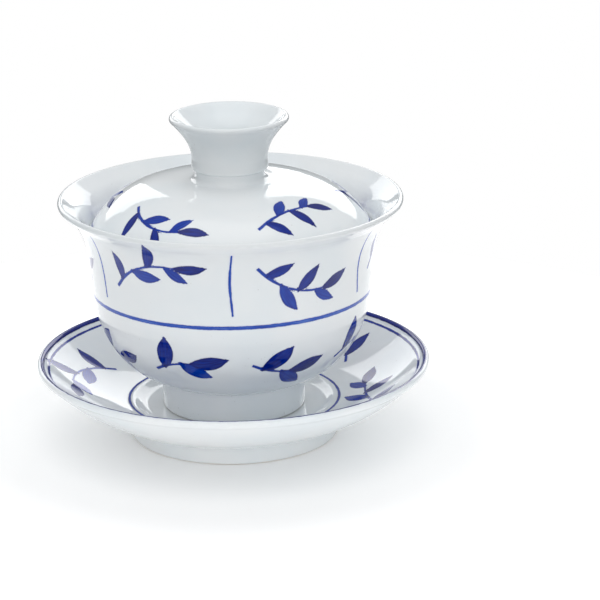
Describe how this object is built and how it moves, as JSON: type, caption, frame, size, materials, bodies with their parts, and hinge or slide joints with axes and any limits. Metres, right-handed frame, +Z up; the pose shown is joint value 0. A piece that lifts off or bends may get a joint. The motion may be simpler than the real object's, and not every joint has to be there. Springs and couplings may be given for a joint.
{
  "type": "gaiwan",
  "caption": "Lidded porcelain tea bowl on a footed saucer, with a flared rim, a low domed lid and a hollow ring-shaped knob.",
  "frame": {"origin": "centre of the circle that the saucer's foot ring stands on", "axes": "+Z up along the axis that all pieces share"},
  "size_m": [0.1124, 0.1124, 0.0933],
  "materials": {
    "porcelain": "glossy clear glaze over white porcelain with cobalt blue brushwork"
  },
  "bodies": {
    "saucer": {"saucer_dish": "porcelain", "saucer_foot_ring": "porcelain"},
    "bowl": {"bowl_body": "porcelain", "bowl_foot_ring": "porcelain"},
    "lid": {"lid_dome": "porcelain", "lid_knob": "porcelain"}
  },
  "joints": [
    {"name": "bowl_lift", "type": "slide", "parent": "saucer", "child": "bowl", "axis": [0, 0, 1], "range_m": [0, 0.045]},
    {"name": "lid_lift", "type": "slide", "parent": "bowl", "child": "lid", "axis": [0, 0, 1], "range_m": [0, 0.05]}
  ]
}
